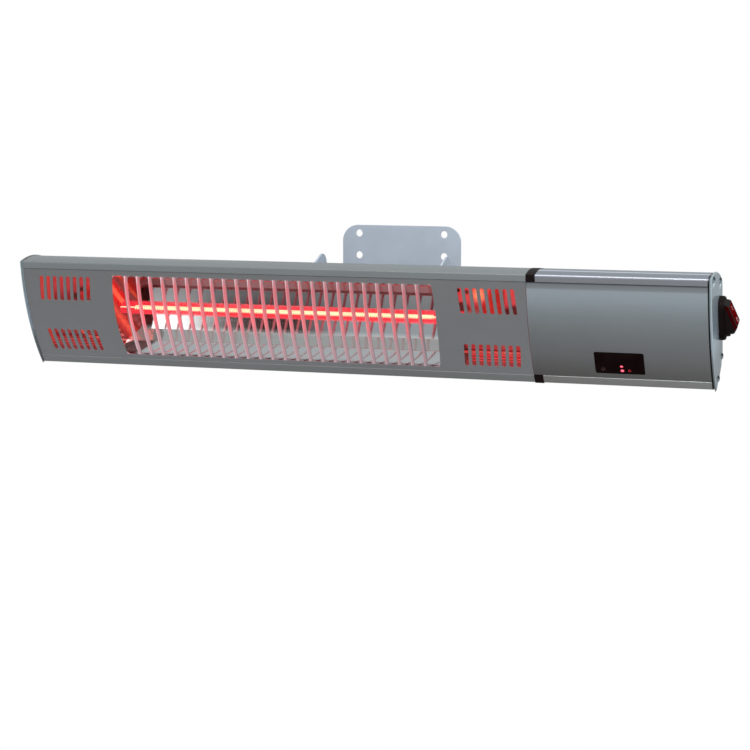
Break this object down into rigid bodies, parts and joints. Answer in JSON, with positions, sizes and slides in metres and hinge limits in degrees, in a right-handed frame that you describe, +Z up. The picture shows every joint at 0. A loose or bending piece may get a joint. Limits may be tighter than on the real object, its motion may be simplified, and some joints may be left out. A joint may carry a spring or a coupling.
{
  "type": "electric bar heater",
  "caption": "Long wall-mounted infrared bar heater: lamp and folded reflector behind a stamped bar guard, control housing with display window and end rocker switch, on a tilting steel bracket",
  "frame": {"origin": "middle of the four wall holes, on the back face of the wall plate", "axes": "X along the heater, +X towards the controls; +Y into the wall, the heater faces -Y; Z up"},
  "size_m": [0.8878, 0.1541, 0.1782],
  "materials": {
    "bracket_paint": "silver-grey powder coat, slightly textured",
    "satin_aluminium": "satin anodised extrusion and sheet",
    "cap_aluminium": "silver-grey lacquered die casting",
    "mirror_aluminium": "bright rolled reflector sheet",
    "zinc": "bright zinc plate",
    "chrome_screw": "bright plated screw heads",
    "fibre": "dark friction fibre",
    "ruby_glass": "clear ruby quartz",
    "glowing_coil": "tungsten coil at work",
    "ceramic_white": "unglazed white ceramic",
    "lead_sleeve": "braided glass-fibre sleeve",
    "black_plastic": "fine-grained black polyamide",
    "black_gloss": "polished dark acrylic",
    "switch_plastic": "glossy black-brown rubberised skin",
    "switch_red": "dark red translucent lens",
    "board_green": "green solder mask",
    "indicator_red": "small red indicator lamps",
    "relay_blue": "blue moulded case",
    "terminal_green": "green moulded block"
  },
  "bodies": {
    "bracket": {"wall_bracket": "bracket_paint", "pivot_bolts": "zinc", "pivot_washers": "zinc", "spacer_washers": "fibre", "pivot_nuts": "zinc"},
    "heater": {"arm_left": "bracket_paint", "arm_right": "bracket_paint", "arm_screws": "zinc", "heater_housing": "satin_aluminium", "front_panel": "satin_aluminium", "reflector": "mirror_aluminium", "reflector_end_left": "mirror_aluminium", "reflector_end_right": "mirror_aluminium", "lamp_tube": "ruby_glass", "lamp_coil": "glowing_coil", "lamp_caps": "ceramic_white", "lamp_holder_left": "zinc", "lamp_holder_right": "zinc", "lamp_leads": "lead_sleeve", "heat_shield": "zinc", "left_end_cap": "cap_aluminium", "left_cap_screws": "chrome_screw", "collar": "black_plastic", "control_housing": "satin_aluminium", "control_cover": "satin_aluminium", "display_window": "black_gloss", "display_board": "board_green", "display_posts": "zinc", "display_leds": "indicator_red", "power_board": "board_green", "board_posts": "zinc", "relay": "relay_blue", "terminal_block": "terminal_green", "right_end_cap": "cap_aluminium", "right_cap_screws": "chrome_screw", "switch_frame": "black_plastic", "cable_gland": "black_plastic"},
    "rocker": {"switch_rocker": "switch_plastic", "switch_lens": "switch_red"}
  },
  "joints": [
    {"name": "tilt", "type": "hinge", "parent": "bracket", "child": "heater", "pos_m": [0, -0.05157, -0.06773], "axis": [1, 0, 0], "range_deg": [-22.3, 22.7]},
    {"name": "switch_rock", "type": "hinge", "parent": "heater", "child": "rocker", "pos_m": [0.4125, -0.08562, -0.07035], "axis": [0, 0.9252, 0.3795], "range_deg": [0, 40]}
  ]
}
